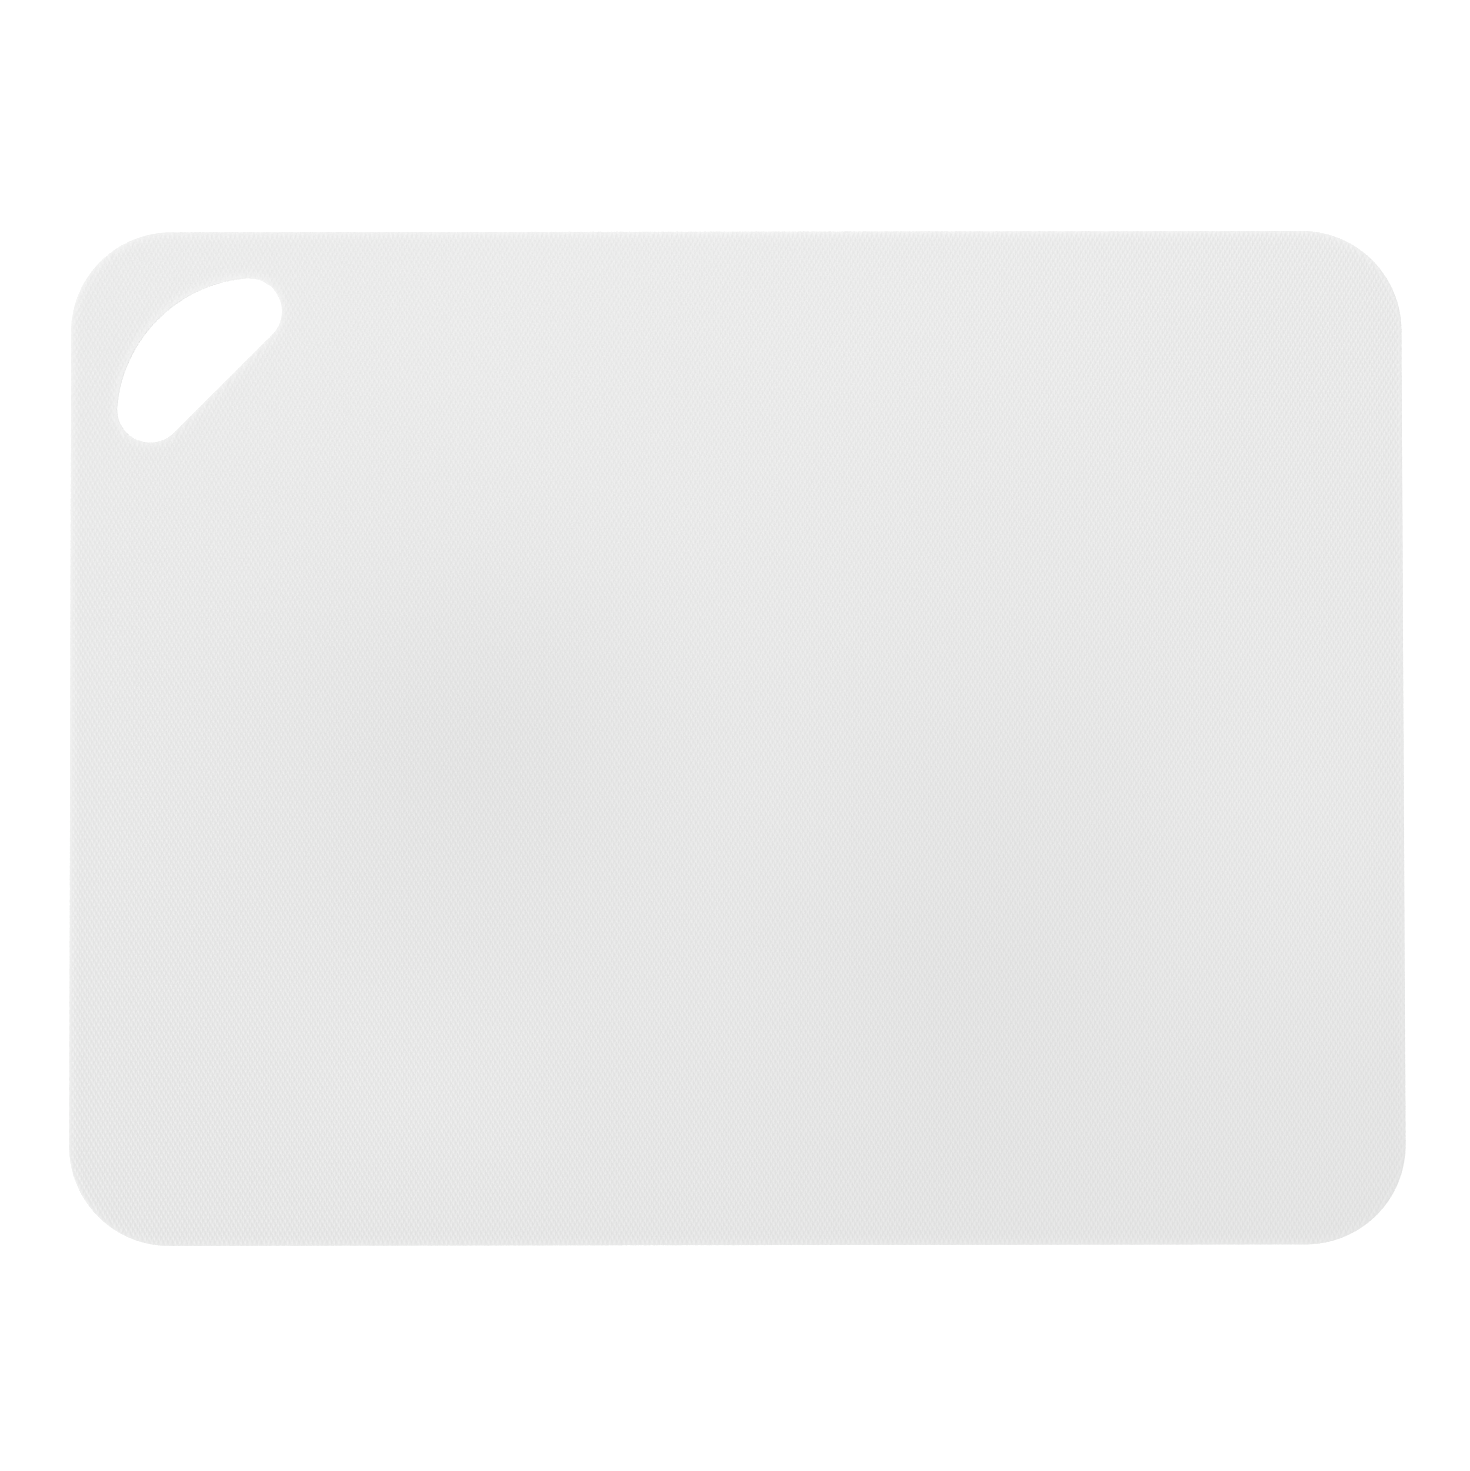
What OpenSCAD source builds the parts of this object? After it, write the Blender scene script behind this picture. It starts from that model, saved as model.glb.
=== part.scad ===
// Flexible cutting mat: one die-cut plastic sheet with rounded corners and a hand hole.
// The sheet lies flat on the worktop, centred on the origin, with its long side along X.
// Its own material is divided along straight bend lines, so that both long sides can curl up
// into a pouring chute. The strips meet face to face and together are exactly the one sheet.

/* [Sheet] */
// Long side of the mat
mat_length = 380; // [260:1:460]
// Short side of the mat
mat_width = 289; // [278:1:330]
// Thickness of the sheet
mat_thickness = 1; // [0.6:0.1:2]
// Radius of the four rounded corners
corner_radius = 28.5; // [10:0.5:32]

/* [Hand hole] */
// Distance from the square corner of the mat to the straight edge of the hole, along the diagonal
hole_setback = 61.4; // [58:0.1:64]
// Distance between the centres of the two rounded ends
hole_end_spacing = 39.6; // [24:0.1:40]
// Radius of the two rounded ends
hole_end_radius = 9.4; // [7:0.1:10]
// Radius of the long curved edge that faces the corner of the mat
hole_arc_radius = 40; // [38:0.5:60]

/* [Bending] */
// Width of one strip between two bend lines
strip_width = 8.5; // [6:0.1:9]
// Bend at each line of the near side, in degrees; 11 stands the near side upright
near_bend = 0; // [0:0.5:11]
// Bend at each line of the far side, in degrees
far_bend = 0; // [0:0.5:11]
// Share of that bend at the first and the last line of a side, where the curl starts and ends
end_share = 0.58; // [0.4:0.01:1]

/* [Hidden] */
strips_per_side = 8;
last_line = strips_per_side + 1;
near_side = -1;
far_side = 1;
sheet_color = [0.93, 0.93, 0.92];
bend_zone = (strips_per_side + 0.5) * strip_width;
panel_width = mat_width / 2 - bend_zone;
hole_half = hole_end_spacing / 2;
hole_end_reach = hole_arc_radius - hole_end_radius;
hole_arc_drop = sqrt(pow(hole_end_reach, 2) - pow(hole_half, 2));
hole_arc_centre = hole_end_radius - hole_arc_drop;
past_arc = 2;
cut_margin = 1;
$fn = 180;

// Distance of a bend line from the middle of the mat; line 1 is the edge of the centre strip
function line_offset(line) = (line - 0.5) * strip_width;

// Bend at one line of one side
function line_bend(line, side) =
    (side == near_side ? near_bend : far_bend)
    * (line == 1 || line == last_line ? end_share : 1);

// Carries its children round every bend line of one side, up to the given one. The sheet turns
// about its upper surface, so neighbouring strips open below and never cut into each other.
module past_line(line, side) {
    if (line == 0) {
        children();
    } else {
        past_line(line - 1, side)
            translate([0, side * line_offset(line), mat_thickness])
                rotate([side * line_bend(line, side), 0, 0])
                    translate([0, -side * line_offset(line), -mat_thickness])
                        children();
    }
}

// The whole sheet seen from above: a rectangle with four round corners
module mat_outline() {
    straight_x = mat_length - 2 * corner_radius;
    straight_y = mat_width - 2 * corner_radius;
    square([mat_length, straight_y], center = true);
    square([straight_x, mat_width], center = true);
    for (x = [-1, 1], y = [-1, 1]) {
        translate([x * straight_x / 2, y * straight_y / 2]) circle(corner_radius);
    }
}

// The hand hole, with its straight edge on X and its long arc towards +Y. The arc meets both
// round ends in line with them, and the wedge keeps only the stretch of it between the two.
module hole_outline() {
    for (side = [-1, 1]) {
        translate([side * hole_half, hole_end_radius]) circle(hole_end_radius);
    }
    translate([-hole_half, 0]) square([hole_end_spacing, hole_end_radius]);
    intersection() {
        translate([0, hole_arc_centre]) circle(hole_arc_radius);
        polygon([
            [-hole_half, hole_end_radius],
            [hole_half, hole_end_radius],
            [past_arc * hole_half, hole_arc_centre + past_arc * hole_arc_drop],
            [-past_arc * hole_half, hole_arc_centre + past_arc * hole_arc_drop]
        ]);
    }
}

// The hand hole in its place, square to the diagonal of the far left corner
module hole_cut() {
    translate([-mat_length / 2, mat_width / 2, -cut_margin])
        rotate([0, 0, 45])
            translate([0, -hole_setback, 0])
                linear_extrude(mat_thickness + 2 * cut_margin) hole_outline();
}

// The flat outer part of one side, from its last bend line to the edge
module outer_panel(side) {
    intersection() {
        linear_extrude(mat_thickness) mat_outline();
        translate([-mat_length / 2, side > 0 ? bend_zone : -mat_width / 2, 0])
            cube([mat_length, panel_width, mat_thickness]);
    }
}

// One strip of the bend zone, from its inner bend line to its outer one
module bend_strip(index, side) {
    inner = line_offset(index);
    outer = line_offset(index + 1);
    translate([-mat_length / 2, side > 0 ? inner : -outer, 0])
        cube([mat_length, strip_width, mat_thickness]);
}

module centre_strip() {
    color(sheet_color)
        translate([-mat_length / 2, -strip_width / 2, 0])
            cube([mat_length, strip_width, mat_thickness]);
}

module near_strip(index) {
    color(sheet_color) past_line(index, near_side) bend_strip(index, near_side);
}

module near_panel() {
    color(sheet_color) past_line(last_line, near_side) outer_panel(near_side);
}

module far_strip(index) {
    color(sheet_color) past_line(index, far_side) bend_strip(index, far_side);
}

module handle_panel() {
    color(sheet_color)
        past_line(last_line, far_side)
            difference() {
                outer_panel(far_side);
                hole_cut();
            }
}

centre_strip();
for (i = [1 : strips_per_side]) {
    near_strip(i);
}
near_panel();
for (i = [1 : strips_per_side]) {
    far_strip(i);
}
handle_panel();
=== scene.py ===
import math

import bpy
import numpy as np
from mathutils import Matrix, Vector
from mathutils.geometry import delaunay_2d_cdt


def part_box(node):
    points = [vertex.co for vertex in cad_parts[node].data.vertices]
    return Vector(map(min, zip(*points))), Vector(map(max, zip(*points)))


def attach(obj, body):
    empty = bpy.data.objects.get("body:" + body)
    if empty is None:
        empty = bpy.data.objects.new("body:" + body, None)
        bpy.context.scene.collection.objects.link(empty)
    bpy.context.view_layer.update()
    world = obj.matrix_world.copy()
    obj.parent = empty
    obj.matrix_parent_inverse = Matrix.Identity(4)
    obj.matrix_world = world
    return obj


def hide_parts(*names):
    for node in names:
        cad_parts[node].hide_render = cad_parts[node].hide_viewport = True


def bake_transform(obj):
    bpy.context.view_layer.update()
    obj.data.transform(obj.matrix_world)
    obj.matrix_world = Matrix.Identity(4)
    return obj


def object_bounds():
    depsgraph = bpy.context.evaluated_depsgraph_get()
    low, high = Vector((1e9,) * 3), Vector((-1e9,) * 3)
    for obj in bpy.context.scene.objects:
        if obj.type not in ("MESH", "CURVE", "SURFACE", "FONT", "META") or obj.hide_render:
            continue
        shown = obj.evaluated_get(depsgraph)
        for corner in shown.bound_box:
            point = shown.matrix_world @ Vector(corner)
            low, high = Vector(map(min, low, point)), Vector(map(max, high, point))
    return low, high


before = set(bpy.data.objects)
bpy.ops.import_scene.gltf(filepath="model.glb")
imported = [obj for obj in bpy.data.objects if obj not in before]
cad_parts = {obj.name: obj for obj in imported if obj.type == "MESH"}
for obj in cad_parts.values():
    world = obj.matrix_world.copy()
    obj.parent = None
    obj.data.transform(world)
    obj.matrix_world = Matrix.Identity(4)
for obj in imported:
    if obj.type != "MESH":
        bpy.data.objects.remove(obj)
cadLow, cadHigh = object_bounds()
mm = 0.001

# The sheet, measured on the frame
matLength = cadHigh.x - cadLow.x
matWidth = cadHigh.y - cadLow.y
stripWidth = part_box("near_strip_1")[1].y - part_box("near_strip_1")[0].y
stripsPerSide = sum(name.startswith("near_strip_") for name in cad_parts)

sheet = {
    "cornerRadius": 28.5 * mm,
    "edgeRound": 0.15 * mm,      # softened edge of the die cut
    "edgeSteps": 3,              # rows of faces round each half of the edge
    "rowsPerStrip": 7,           # half diamonds across one strip
    "columns": 286,              # half diamonds from the middle to a short side
    "embossDepth": 0.1 * mm,
    "embossFade": 0.9 * mm,      # the relief dies out this far from a cut edge
    "tuckReach": 0.13 * mm,      # each bent strip reaches this far over the next one's lower edge,
    "tuckHeight": 0.02 * mm,     # just inside the underside, so that no crack shows when it curls
    "seamLap": 0.006 * mm,       # the same at the upper face, where curling opens far less
}

# Spacing of the points that the skin is made from
spacing = {
    "outline": 1.1 * mm,
    "holeShare": 0.6,            # the hand hole's points are so much closer
    "leastSpans": 4,             # on any arc
    "underside": 9 * mm,
    "undersideMargin": 0.25,     # share of that spacing kept free beside a cut edge
    "embossMargin": 0.3,         # half diamonds kept free beside a cut edge
    "onEdge": 0.999,             # faces lie inside from this share of the softened edge's width
    "sameSpot": 1e-8,            # metres; points nearer than this are one
}

# Painted light: the plastic is painted paler near a cut edge, most on the side facing the light,
# standing in for light glowing in the cut plastic
rim = {
    "reach": 3.6 * mm,
    "lift": 0.06,
    "lean": 0.04,                # painted light: so much more at the side that faces the light, and less opposite
    "litSide": (-0.96, 0.28),     # the way to that side
    "holeLift": 0.077,
    "cutLift": 0.12,             # painted glow on the cut itself, standing in for light that entered the sheet coming out
    "cutReach": 0.03 * mm,       # how near to the cut that is
}

handHole = {
    "setback": 61.4 * mm,        # corner of the mat to the straight edge, along the diagonal
    "endSpacing": 39.6 * mm,
    "endRadius": 9.4 * mm,
    "arcRadius": 40 * mm,
}

# How far each side of a bend line the turn is spread, in strip widths; this script works the reaches
# out but bends nothing with them. With these two reaches the bent strips would run into each other with
# no crease.
bending = {"evenReach": (1 + math.sqrt(3)) / 2, "endReach": (math.sqrt(21) - 1) / 2}

edge = sheet["edgeRound"]
halfX = (matLength / 2 - edge) / sheet["columns"]
halfY = stripWidth / sheet["rowsPerStrip"]
topZ = cadHigh.z
rimZ = topZ - sheet["embossDepth"] / 2
lastLine = stripsPerSide + 1

# The long arc of the hand hole runs on from its two rounded ends, which places its centre
holeHalf = handHole["endSpacing"] / 2
holeReach = handHole["arcRadius"] - handHole["endRadius"]
holeDrop = math.sqrt(holeReach ** 2 - holeHalf ** 2)
holeArcCentre = handHole["endRadius"] - holeDrop
diagonal = math.sqrt(0.5)


def edgeProfile():
    # (inset, height) down the edge, from the upper face to the lower one
    steps = sheet["edgeSteps"]
    angles = [math.pi / 2 * i / steps for i in range(steps + 1)]
    upper = [(edge * (1 - math.sin(a)), rimZ - edge * (1 - math.cos(a))) for a in angles]
    lower = [(edge * (1 - math.sin(a)), cadLow.z + edge * (1 - math.cos(a))) for a in angles]
    return upper + lower[::-1]


def outlineDepth(x, y):
    # distance of a point inside the outer outline; negative outside
    r = sheet["cornerRadius"]
    pastX = np.abs(x) - (matLength / 2 - r)
    pastY = np.abs(y) - (matWidth / 2 - r)
    outside = np.hypot(np.maximum(pastX, 0), np.maximum(pastY, 0))
    return r - outside - np.minimum(np.maximum(pastX, pastY), 0)


def holeToMat(u, v):
    # u runs along the straight edge of the hole, v towards the corner of the mat
    v = v - handHole["setback"]
    return -matLength / 2 + diagonal * (u - v), matWidth / 2 + diagonal * (u + v)


def matToHole(x, y):
    x = x + matLength / 2
    y = y - matWidth / 2
    return diagonal * (x + y), diagonal * (y - x) + handHole["setback"]


def holeDistance(x, y):
    # distance of a point from the hole; negative inside it
    u, v = matToHole(x, y)
    u = np.abs(u)
    r = handHole["endRadius"]
    toEnd = np.hypot(u - holeHalf, v - r) - r
    toArc = np.hypot(u, v - holeArcCentre) - handHole["arcRadius"]
    underArc = (v > r) & (u * holeDrop < (v - holeArcCentre) * holeHalf)
    overEdge = (v <= r) & (u <= holeHalf)
    return np.where(underArc, toArc, np.where(overEdge, -v, toEnd))


def rimDistance(x, y, hasHole=True):
    # distance to the nearest cut edge
    depth = outlineDepth(x, y)
    return np.minimum(depth, holeDistance(x, y)) if hasHole else depth


def paintedRimGlow(x, y):
    # painted light: how much paler the plastic is painted near a cut edge than in the middle of the
    # sheet, more on the lit side
    def near(distance, reach):
        return np.clip(1 - distance / reach, 0, 1)

    depth = outlineDepth(x, y)
    aside, ahead = rim["litSide"]
    facingLitSide = (depth - outlineDepth(x + edge * aside, y + edge * ahead)) / edge
    outer = near(depth, rim["reach"]) ** 2 * (rim["lift"] + rim["lean"] * facingLitSide)
    inner = near(holeDistance(x, y), rim["reach"]) ** 2 * rim["holeLift"]
    return np.maximum(outer, inner) + near(rimDistance(x, y), rim["cutReach"]) * rim["cutLift"]


def topHeight(i, j):
    # peaks and grooves of the embossing take turns on the grid, and die out at a cut edge
    x, y = i * halfX, j * halfY
    relief = np.where((i + j) % 2 == 0, 0.5, -0.5) * sheet["embossDepth"]
    fade = np.clip((rimDistance(x, y) - edge) / sheet["embossFade"], 0, 1)
    return rimZ + relief * fade


class Skin:
    # gathers the points and faces of one piece of the sheet
    def __init__(self):
        self.points = []
        self.faces = []
        self.smooth = []
        self.count = 0

    def add(self, points):
        points = np.asarray(points, float).reshape(-1, 3)
        first = self.count
        self.points.append(points)
        self.count += len(points)
        return np.arange(first, self.count)

    def at(self, ids):
        return np.concatenate(self.points)[ids]

    def face(self, faces, smooth):
        faces = [list(map(int, f)) for f in faces]
        self.faces += faces
        self.smooth += [smooth] * len(faces)

    def band(self, rings, closed, smooth=True):
        # joins neighbouring rings of equal length by four-sided faces
        for a, b in zip(rings, rings[1:]):
            n = len(a)
            spans = range(n if closed else n - 1)
            self.face([(a[k], b[k], b[(k + 1) % n], a[(k + 1) % n]) for k in spans], smooth)

    def lace(self, upper, lower, flip):
        # closes the cut between an upper and a lower row that both run along X
        upperX = [*self.at(upper)[:, 0], np.inf]
        lowerX = [*self.at(lower)[:, 0], np.inf]
        a, b = 0, 0
        made = []
        while a < len(upper) - 1 or b < len(lower) - 1:
            if upperX[a + 1] <= lowerX[b + 1]:
                made.append((upper[a], lower[b], upper[a + 1]))
                a += 1
            else:
                made.append((upper[a], lower[b], lower[b + 1]))
                b += 1
        self.face([f[::-1] for f in made] if flip else made, False)


def embossedCells(skin, grid, firstColumn, firstRow, keep):
    # two triangles to each cell, split along the groove so that four cells make a diamond
    j, i = np.nonzero(keep)
    a, b = grid[j, i], grid[j, i + 1]
    c, d = grid[j + 1, i + 1], grid[j + 1, i]
    even = ((i + firstColumn + j + firstRow) % 2 == 0)[:, None]
    first = np.where(even, np.stack([a, b, d], 1), np.stack([a, b, c], 1))
    second = np.where(even, np.stack([b, c, d], 1), np.stack([a, c, d], 1))
    skin.face(np.concatenate([first, second]).tolist(), False)


def undersideColumns():
    count = int((matLength - 2 * edge) / spacing["underside"])
    return np.linspace(-matLength / 2 + edge, matLength / 2 - edge, count + 1)


def rowPoints(j, profile, lap):
    # the whole section of the sheet at one row: upper points, underside and the two edges
    columns = sheet["columns"]
    y = j * halfY + lap
    i = np.arange(-columns, columns + 1)
    upper = np.stack([i * halfX, np.full(len(i), y), topHeight(i, np.full(len(i), j))], 1)
    x = undersideColumns()
    lower = np.stack([x, np.full(len(x), y), np.full(len(x), cadLow.z)], 1)
    inner = profile[1:-1]
    right = [(matLength / 2 - inset, y, z) for inset, z in inner]
    left = [(inset - matLength / 2, y, z) for inset, z in inner]
    return upper, lower, right, left


def capRow(skin, upper, lower, right, left, flip, tuck=0):
    # closes the cut section of the sheet at one row
    half = len(right) // 2
    above = np.concatenate([left[half - 1::-1], upper, right[:half]])
    below = np.concatenate([left[half:], lower, right[half:][::-1]])

    def add(faces):
        skin.face([f[::-1] for f in faces] if flip else faces, False)

    def join(first, second):
        skin.band([second, first] if flip else [first, second], False, False)

    # a level row under the zigzag of the embossing, which the long faces below start from
    points = skin.at(above[1:-1])
    points[:, 2] = rimZ - edge
    level = np.concatenate([above[:1], skin.add(points), above[-1:]])
    join(above[1:-1], level[1:-1])
    add([(above[0], level[1], above[1]), (above[-1], above[-2], level[-2])])
    if tuck:
        points = skin.at(below)
        points[:, 0] *= 1 - 2 * sheet["tuckHeight"] / matLength
        tucked = skin.add(points + (0, tuck * sheet["tuckReach"], sheet["tuckHeight"]))
        join(tucked, below)
        add([(level[0], below[0], tucked[0]), (level[-1], tucked[-1], below[-1])])
        below = tucked
    skin.lace(level, below, flip)


def bendSkin(lowRow, highRow, lowTuck, highTuck):
    # the stretch of sheet between two rows of the bend zone
    skin = Skin()
    profile = edgeProfile()
    uppers, lowers, rights, lefts = [], [], [], []
    for j in range(lowRow, highRow + 1):
        lap = (highTuck and j == highRow) - (lowTuck and j == lowRow)
        upper, lower, right, left = rowPoints(j, profile, lap * sheet["seamLap"])
        uppers.append(skin.add(upper))
        lowers.append(skin.add(lower))
        rights.append(skin.add(right))
        lefts.append(skin.add(left))
    grid = np.array(uppers)
    allCells = np.ones((grid.shape[0] - 1, grid.shape[1] - 1), bool)
    embossedCells(skin, grid, -sheet["columns"], lowRow, allCells)
    for r in range(len(uppers) - 1):
        skin.band([lowers[r], lowers[r + 1]], False)
        for a, b, ends, last in ((r + 1, r, rights, -1), (r, r + 1, lefts, 0)):
            near = [uppers[a][last], *ends[a], lowers[a][last]]
            far = [uppers[b][last], *ends[b], lowers[b][last]]
            skin.band([near, far], False)
    capRow(skin, uppers[0], lowers[0], rights[0], lefts[0], False, -1 if lowTuck else 0)
    capRow(skin, uppers[-1], lowers[-1], rights[-1], lefts[-1], True, 1 if highTuck else 0)
    return skin


def arcPoints(centre, radius, start, end, step, outset=0):
    # counted on the radius alone, so that every outset has the same points
    count = max(spacing["leastSpans"], round(abs(end - start) * radius / step))
    reach = radius + outset
    angles = np.linspace(start, end, count + 1)
    return [(centre[0] + reach * math.cos(a), centre[1] + reach * math.sin(a)) for a in angles]


def linePoints(a, b, step):
    count = max(1, round(math.dist(a, b) / step))
    return [(a[0] + (b[0] - a[0]) * k / count, a[1] + (b[1] - a[1]) * k / count)
            for k in range(count + 1)]


def chain(parts):
    # joins stretches that start where the last one ended
    points = list(parts[0])
    for part in parts[1:]:
        points += part[1:]
    return points


def panelOutline(side, cutY):
    # from the cut row on the left, round the two corners, to the cut row on the right
    r, step = sheet["cornerRadius"], spacing["outline"]
    x, y = matLength / 2 - r, matWidth / 2 - r
    points = chain([
        linePoints((-matLength / 2, cutY), (-matLength / 2, y), step),
        arcPoints((-x, y), r, math.pi, math.pi / 2, step),
        linePoints((-x, matWidth / 2), (x, matWidth / 2), step),
        arcPoints((x, y), r, math.pi / 2, 0, step),
        linePoints((matLength / 2, y), (matLength / 2, cutY), step),
    ])
    return [(px, side * py) for px, py in points]


def outlineInset(points, inset):
    # the outline drawn in, square to itself: straight sides and corner arcs alike
    r = sheet["cornerRadius"]
    scale = 1 - inset / r
    out = []
    for px, py in points:
        ax, ay = abs(px), abs(py)
        cx, cy = min(ax, matLength / 2 - r), min(ay, matWidth / 2 - r)
        x = math.copysign(cx + (ax - cx) * scale, px)
        y = math.copysign(cy + (ay - cy) * scale, py)
        out.append((x, y))
    return out


def holeOutline(outset):
    # the orange segment
    r, step = handHole["endRadius"], spacing["outline"] * spacing["holeShare"]
    lean = math.atan2(holeDrop, holeHalf)
    points = chain([
        linePoints((-holeHalf, -outset), (holeHalf, -outset), step),
        arcPoints((holeHalf, r), r, -math.pi / 2, lean, step, outset),
        arcPoints((0, holeArcCentre), handHole["arcRadius"], lean, math.pi - lean, step, outset),
        arcPoints((-holeHalf, r), r, math.pi - lean, 3 * math.pi / 2, step, outset),
    ])[:-1]
    return [holeToMat(u, v) for u, v in points]


def panelTop(skin, side, cutRow, hasHole):
    # the embossed upper face as far as whole cells fit in, and the points left free beside them
    columns = sheet["columns"]
    farRow = side * int((matWidth / 2 - edge) / halfY)
    rows = np.arange(min(cutRow, farRow), max(cutRow, farRow) + 1)
    i, j = np.meshgrid(np.arange(-columns, columns + 1), rows)
    x, y = i * halfX, j * halfY
    inside = rimDistance(x, y, hasHole) > edge + spacing["embossMargin"] * halfX
    onCut = j == cutRow
    used = inside | onCut
    grid = np.full(i.shape, -1)
    grid[used] = skin.add(np.stack([x, y, topHeight(i, j)], 2)[used])
    cells = inside[:-1, :-1] & inside[:-1, 1:] & inside[1:, :-1] & inside[1:, 1:]
    embossedCells(skin, grid, -columns, rows[0], cells)

    # a point that has all four cells round it isn't free
    around = np.zeros(i.shape, int)
    for down in (0, 1):
        for along in (0, 1):
            around[down:down + cells.shape[0], along:along + cells.shape[1]] += cells
    free = grid[used & ((around < 4) | onCut)]
    return grid, cells, rows[0], grid[onCut], free


def stairEdges(cells, grid):
    # edges between a whole cell and one that the cut edge crosses
    padded = np.pad(cells, 1)
    across = padded[1:-1, 1:] != padded[1:-1, :-1]
    pairs = [(grid[j, i], grid[j + 1, i]) for j, i in zip(*np.nonzero(across))]
    along = padded[1:, 1:-1] != padded[:-1, 1:-1]
    pairs += [(grid[j, i], grid[j, i + 1]) for j, i in zip(*np.nonzero(along))]
    return [pair for pair in pairs if min(pair) >= 0]


def panelRings(skin, side, cutY, ends):
    # rows of points down the outer edge; the first one joins the ends of the cut row
    outline = panelOutline(side, cutY)
    rings = []
    for inset, z in edgeProfile():
        ring = [(x, y, z) for x, y in outlineInset(outline, inset)]
        if rings:
            rings.append(skin.add(ring))
        else:
            rings.append(np.concatenate([ends[:1], skin.add(ring[1:-1]), ends[1:]]))
    return rings


def undersidePoints(skin, side, cutY, ring, hasHole):
    # the lower row of the cut, which the edge's lowest ring closes, and a free grid beyond it
    columns = undersideColumns()[1:-1]
    inner = skin.add([(x, side * cutY, cadLow.z) for x in columns])
    step = spacing["underside"]
    margin = edge + step * spacing["undersideMargin"]
    free = [(x, side * y, cadLow.z)
            for y in np.arange(cutY + step, matWidth / 2, step)
            for x in columns
            if rimDistance(x, y, hasHole) > margin]
    return np.concatenate([ring[:1], inner, ring[-1:]]), skin.add(free)


def fillLevel(skin, loops, free, inside, upward):
    # fills a flat face with triangles between loops of points, and through the free points
    points = np.concatenate(skin.points)
    ids, spotOf, sides = [], {}, []

    def spot(k):
        if k not in spotOf:
            spotOf[k] = len(ids)
            ids.append(k)
        return spotOf[k]

    for loop, closed in loops:
        spots = [spot(int(k)) for k in loop]
        sides += zip(spots, spots[1:])
        if closed:
            sides.append((spots[-1], spots[0]))
    for k in free:
        spot(int(k))
    flat = [Vector(points[k][:2]) for k in ids]
    places, _, triangles, sources, _, _ = delaunay_2d_cdt(flat, sides, [], 0, spacing["sameSpot"])
    faces = []
    for triangle in triangles:
        middle = sum((places[v] for v in triangle), Vector((0, 0))) / len(triangle)
        if not inside(middle.x, middle.y):
            continue
        face = [ids[sources[v][0]] for v in triangle]
        a, b, c = points[face]
        rising = (b[0] - a[0]) * (c[1] - a[1]) - (b[1] - a[1]) * (c[0] - a[0]) > 0
        faces.append(face if rising == upward else face[::-1])
    skin.face(faces, not upward)


def panelSkin(side, hasHole):
    # the flat outer part of one side, from the last row of the bend zone to the edge
    skin = Skin()
    cutRow = side * lastLine * sheet["rowsPerStrip"]
    cutY = abs(cutRow) * halfY
    grid, cells, firstRow, upperCut, free = panelTop(skin, side, cutRow, hasHole)
    rings = panelRings(skin, side, cutY, upperCut[[0, -1]])
    holeRings = []
    if hasHole:
        holeRings = [skin.add([(x, y, z) for x, y in holeOutline(inset)]) for inset, z in edgeProfile()]
    skin.band(rings if side < 0 else [r[::-1] for r in rings], False)
    skin.band([r[::-1] for r in holeRings], True)

    def onPanel(x, y):
        return rimDistance(x, y, hasHole) > edge * spacing["onEdge"] and side * y > cutY

    def besideCells(x, y):
        i = math.floor(x / halfX) + sheet["columns"]
        j = math.floor(y / halfY) - firstRow
        inGrid = 0 <= i < cells.shape[1] and 0 <= j < cells.shape[0]
        return onPanel(x, y) and not (inGrid and cells[j, i])

    loops = [(rings[0], False)] + [(ring, True) for ring in holeRings[:1]]
    loops += [(pair, False) for pair in stairEdges(cells, grid)]
    fillLevel(skin, loops, free, besideCells, True)

    lowerCut, free = undersidePoints(skin, side, cutY, rings[-1], hasHole)
    loops = [(rings[-1], False), (lowerCut, False)] + [(ring, True) for ring in holeRings[-1:]]
    fillLevel(skin, loops, free, onPanel, False)

    leftEnd = np.array([ring[0] for ring in rings[1:-1]])
    rightEnd = np.array([ring[-1] for ring in rings[1:-1]])
    capRow(skin, upperCut, lowerCut, rightEnd, leftEnd, side < 0)
    return skin


def markSharp(mesh, skin):
    # the smooth underside ends sharply where flat faces start
    sides = np.empty(len(mesh.loops), np.int32)
    mesh.loops.foreach_get("edge_index", sides)
    flatSides = np.repeat(np.logical_not(skin.smooth), [len(f) for f in skin.faces])
    sharp = np.zeros(len(mesh.edges), bool)
    sharp[sides[flatSides]] = True
    mesh.edges.foreach_set("use_edge_sharp", sharp)


def markPlaces(mesh, points):
    # where each point lies on the flat sheet, and how much painted rim glow it gets there
    corners = np.empty(len(mesh.loops), np.int32)
    mesh.loops.foreach_get("vertex_index", corners)
    flat = mesh.uv_layers.new(name="flat")
    flat.data.foreach_set("uv", (points[corners][:, :2] / matLength + 0.5).astype(np.float32).ravel())
    # the underside gets no painted rim glow, because its faces are longer than the pale rim is wide
    x, y, z = points.T
    paintedPaleness = np.where(z > cadLow.z, paintedRimGlow(x, y), 0)
    paintedGlow = mesh.attributes.new("paintedGlow", "FLOAT", "POINT")
    paintedGlow.data.foreach_set("value", paintedPaleness.astype(np.float32))


def buildPiece(name, skin, finish):
    points = np.concatenate(skin.points)
    mesh = bpy.data.meshes.new(name)
    mesh.from_pydata(points.tolist(), [], skin.faces)
    mesh.polygons.foreach_set("use_smooth", skin.smooth)
    markSharp(mesh, skin)
    markPlaces(mesh, points)
    mesh.materials.append(finish)
    piece = bpy.data.objects.new(name, mesh)
    bpy.context.scene.collection.objects.link(piece)
    return piece


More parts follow.
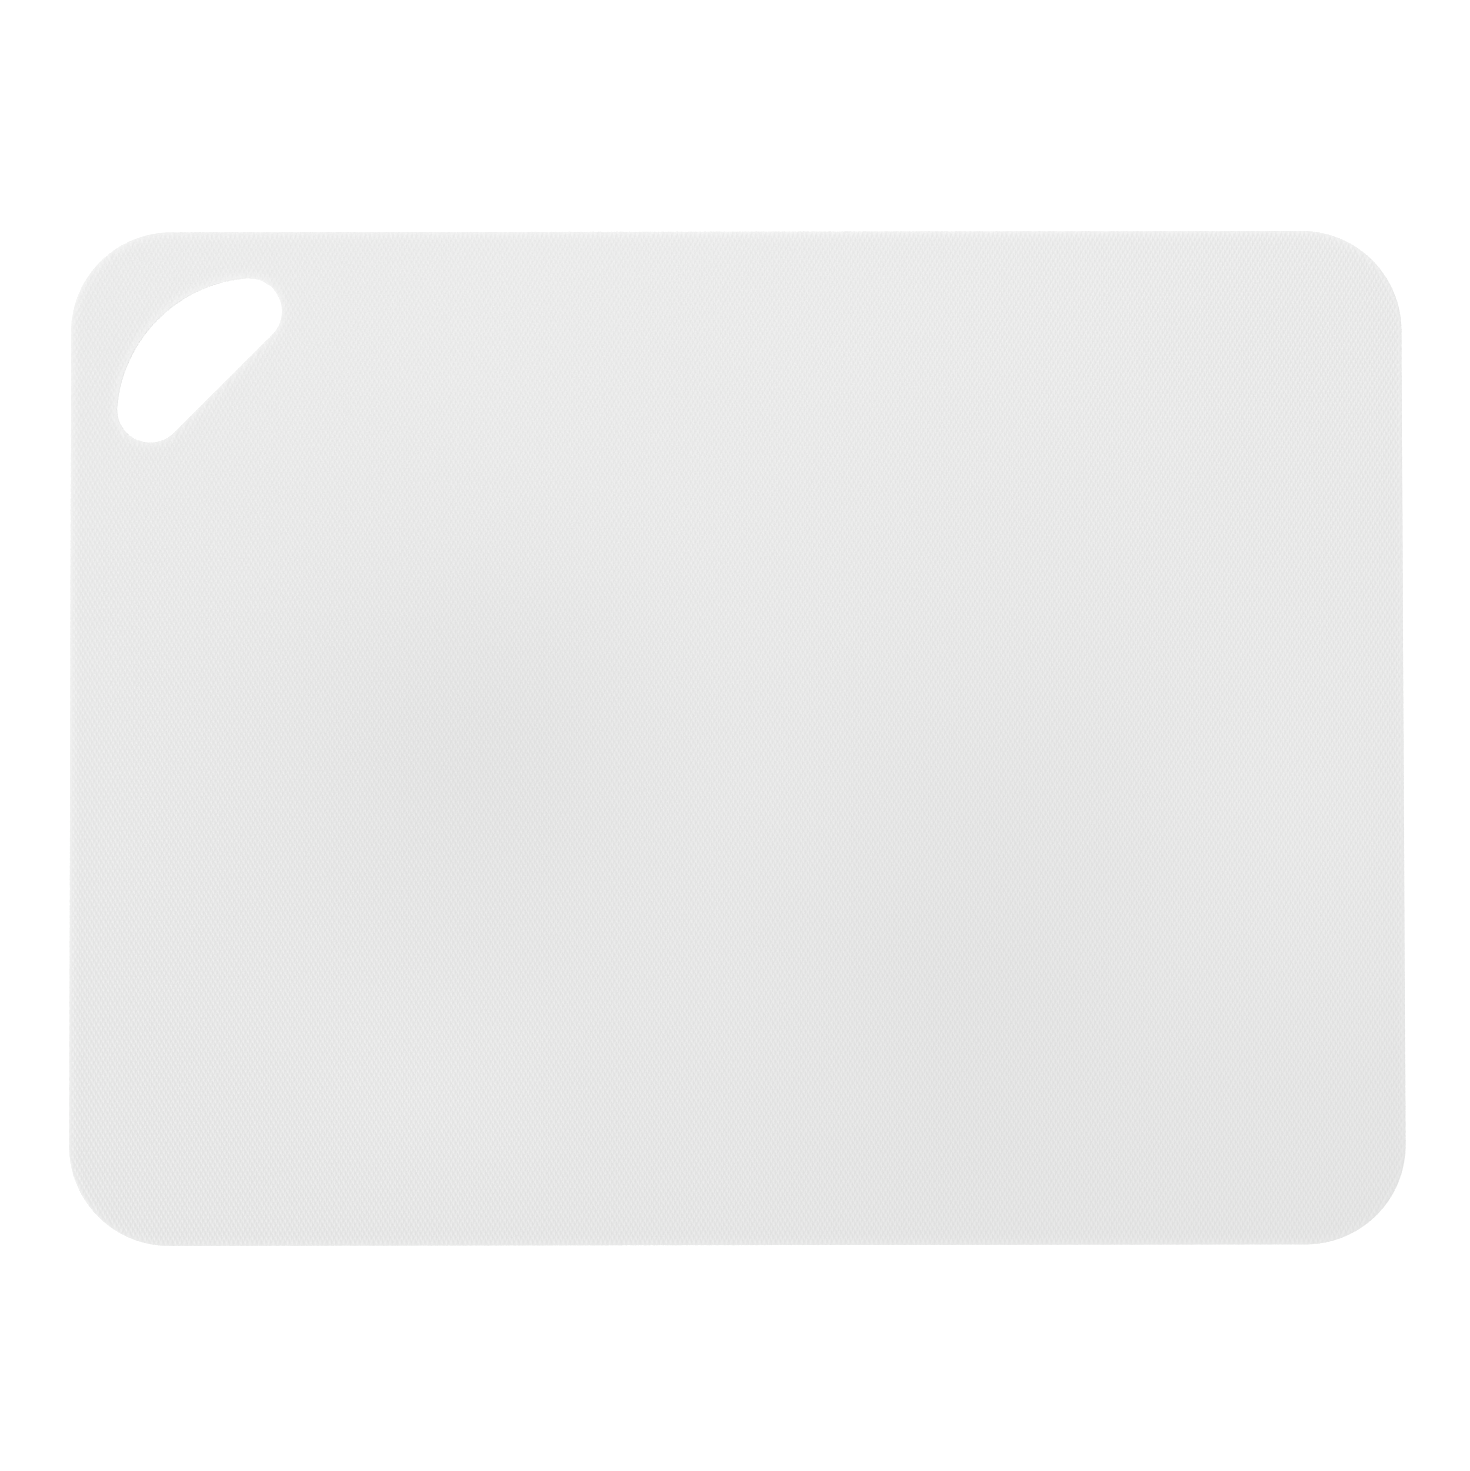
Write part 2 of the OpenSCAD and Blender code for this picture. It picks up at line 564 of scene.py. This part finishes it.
plastic = {
    "tone": (0.803, 0.803, 0.803),
    "toneDrift": 0.01,           # slow change of the white over the sheet
    "driftSize": 7,              # patches along the length of the mat
    "driftDetail": 2,
    # painted shade and light: faint darker and lighter patches where light falls on a sheet that
    # doesn't lie quite flat: centre and reach in mm, strength
    "paintedWaveShade": [
        ((-80, -3), (54, 54), -0.046),
        ((66, -55), (42, 74), -0.03),
        ((-95, -98), (42, 32), 0.018),
        ((162, -18), (36, 62), 0.02),
    ],
    "roughness": 0.42,
    "roughnessDrift": 0.05,
    "refraction": 1.49,
    "grainSize": 900,            # fine matte grain along the length
    "grainDetail": 3,
    "grainHeight": 0.004 * mm,
}


class Wire:
    # one output of a shader node, so that shader sums read as ordinary ones
    def __init__(self, tree, socket=None):
        self.tree = tree
        self.socket = socket

    def node(self, kind, settings, inputs, output=0):
        made = self.tree.nodes.new(kind)
        for key, value in settings.items():
            setattr(made, key, value)
        for key, value in inputs.items():
            if isinstance(value, Wire):
                self.tree.links.new(value.socket, made.inputs[key])
            else:
                made.inputs[key].default_value = value
        return Wire(self.tree, made.outputs[output])

    def maths(self, operation, a, b):
        return self.node("ShaderNodeMath", {"operation": operation}, {0: a, 1: b})

    def __add__(self, other):
        return self.maths("ADD", self, other)

    __radd__ = __add__

    def __mul__(self, other):
        return self.maths("MULTIPLY", self, other)

    __rmul__ = __mul__

    def __sub__(self, other):
        return self.maths("SUBTRACT", self, other)

    def __rsub__(self, other):
        return self.maths("SUBTRACT", other, self)

    def __rpow__(self, other):
        return self.maths("POWER", other, self)


def makePlastic():
    finish = bpy.data.materials.new("whitePlastic")
    finish.use_nodes = True
    tree = finish.node_tree
    shader = tree.nodes["Principled BSDF"].inputs
    start = Wire(tree)
    place = start.node("ShaderNodeUVMap", {"uv_map": "flat"}, {})
    across = start.node("ShaderNodeSeparateXYZ", {}, {0: place}, "X")
    along = Wire(tree, across.socket.node.outputs["Y"])
    # the painted rim glow, read from the mesh
    paintedGlow = start.node("ShaderNodeAttribute", {"attribute_name": "paintedGlow"}, {}, "Fac")

    def noise(size, detail):
        return start.node("ShaderNodeTexNoise", {}, {"Vector": place, "Scale": size, "Detail": detail})

    slow = noise(plastic["driftSize"], plastic["driftDetail"])
    grain = noise(plastic["grainSize"], plastic["grainDetail"])
    # the slow drift is the plastic's own tone; the painted rim glow is added on top of it
    level = 1 + (slow - 0.5) * (2 * plastic["toneDrift"]) + paintedGlow
    # painted shade and light: soft patches for a sheet that doesn't lie quite flat, added to the tone
    for (x, y), (reachX, reachY), strength in plastic["paintedWaveShade"]:
        sideways = (across - 0.5 - x * mm / matLength) * (matLength / (reachX * mm))
        upwards = (along - 0.5 - y * mm / matLength) * (matLength / (reachY * mm))
        level = level + strength * math.e ** (-1 * (sideways * sideways + upwards * upwards))
    scaling = {0: plastic["tone"], "Scale": level}
    tone = start.node("ShaderNodeVectorMath", {"operation": "SCALE"}, scaling)
    rough = plastic["roughness"] + (grain - 0.5) * (2 * plastic["roughnessDrift"])
    relief = {"Strength": 1, "Distance": plastic["grainHeight"], "Height": grain}
    bump = start.node("ShaderNodeBump", {}, relief)
    tree.links.new(tone.socket, shader["Base Color"])
    tree.links.new(rough.socket, shader["Roughness"])
    tree.links.new(bump.socket, shader["Normal"])
    shader["IOR"].default_value = plastic["refraction"]
    return finish


whitePlastic = makePlastic()
print("material made")


def addSide(prefix, sideName, side, panel, hasHole):
    # nine strips of skin, one after another, then the flat outer part
    bodies = ["centre_strip"] + [f"{prefix}_strip_{k}" for k in range(1, lastLine)] + [panel]
    rows = side * sheet["rowsPerStrip"]
    for k in range(1, lastLine + 1):
        # the row towards the middle, the row away from it, and whether a bent neighbour follows
        cuts = [(rows * (k - 1), k > 1), (rows * k, k < lastLine)]
        (lowRow, lowTuck), (highRow, highTuck) = sorted(cuts)
        skin = bendSkin(lowRow, highRow, lowTuck, highTuck)
        piece = buildPiece(f"{prefix}_sheet_{k}", skin, whitePlastic)
        # the bend line lies halfway across the piece
        middle = k - 0.5
        start, end = middle - bending["evenReach"], middle + bending["evenReach"]
        if k == 1:
            start, end = 0, bending["endReach"]
        if k == lastLine:
            start, end = lastLine - bending["endReach"], lastLine
        first, last = ((0, side * at * stripWidth, topZ) for at in (start, end))
        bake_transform(piece)
        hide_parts(*bodies[k - 1:k + 1])
    piece = buildPiece(sideName, panelSkin(side, hasHole), whitePlastic)
    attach(piece, panel)
    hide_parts(panel)
    print(sideName, "and its bending strips made")


addSide("near", "near_side_sheet", -1, "near_panel", False)
addSide("far", "handle_side_sheet", 1, "handle_panel", True)

studio = {
    "white": (1, 1, 1, 1),
    "surround": 0.5,
    "lamps": [                   # place, size and power
        ((-8, -3.6, 12), 6, 855),
        ((0.05, 0.65, 1.15), 0.5, 3.9),
    ],
    "floorSize": 12,
    "floorTone": (0.45, 0.45, 0.45, 1),
    "floorRoughness": 0.9,
    "floorLift": 0.7,            # the table glows a little, as a light table does
    "floorGap": 0.05 * mm,
}


def addSurround():
    world = bpy.data.worlds.new("studio")
    world.use_nodes = True
    background = world.node_tree.nodes["Background"].inputs
    background["Color"].default_value = studio["white"]
    background["Strength"].default_value = studio["surround"]
    bpy.context.scene.world = world


def addLamp(place, size, power):
    lamp = bpy.data.lights.new("softbox", "AREA")
    lamp.shape = "DISK"
    lamp.size = size
    lamp.energy = power
    softbox = bpy.data.objects.new("softbox", lamp)
    softbox.location = place
    softbox.rotation_euler = (-Vector(place)).to_track_quat("-Z", "Y").to_euler()
    bpy.context.scene.collection.objects.link(softbox)


def makeTable():
    table = bpy.data.materials.new("paleTable")
    table.use_nodes = True
    surface = table.node_tree.nodes["Principled BSDF"].inputs
    surface["Base Color"].default_value = studio["floorTone"]
    surface["Roughness"].default_value = studio["floorRoughness"]
    surface["Emission Color"].default_value = studio["white"]
    surface["Emission Strength"].default_value = studio["floorLift"]
    return table


def addFloor():
    half = studio["floorSize"] / 2
    z = -studio["floorGap"]
    mesh = bpy.data.meshes.new("floor")
    corners = [(-half, -half, z), (half, -half, z), (half, half, z), (-half, half, z)]
    mesh.from_pydata(corners, [], [(0, 1, 2, 3)])
    mesh.materials.append(makeTable())
    floor = bpy.data.objects.new("floor", mesh)
    bpy.context.scene.collection.objects.link(floor)


addSurround()
for place, size, power in studio["lamps"]:
    addLamp(place, size, power)
addFloor()
print("floor and light made")

view = {
    "tilt": (1.701, -0.015, -0.073),   # degrees about X, Y and Z, from straight down
    "distance": 1.5,
    "shift": (-0.00045, 0.00043, 0),
    "lens": 128.8,
    "sensor": 36,
    "nearest": 0.01,
    "farthest": 50,
}


def addCamera():
    lens = bpy.data.cameras.new("camera")
    lens.lens = view["lens"]
    lens.sensor_width = view["sensor"]
    lens.sensor_fit = "AUTO"
    lens.clip_start = view["nearest"]
    lens.clip_end = view["farthest"]
    camera = bpy.data.objects.new("camera", lens)
    camera.rotation_euler = [math.radians(a) for a in view["tilt"]]
    backward = camera.rotation_euler.to_matrix() @ Vector((0, 0, view["distance"]))
    camera.location = backward + Vector(view["shift"])
    bpy.context.scene.collection.objects.link(camera)
    return camera


bpy.context.scene.camera = addCamera()
bpy.context.scene.view_settings.view_transform = "Standard"
bpy.context.scene.view_settings.look = "None"
print("camera placed")
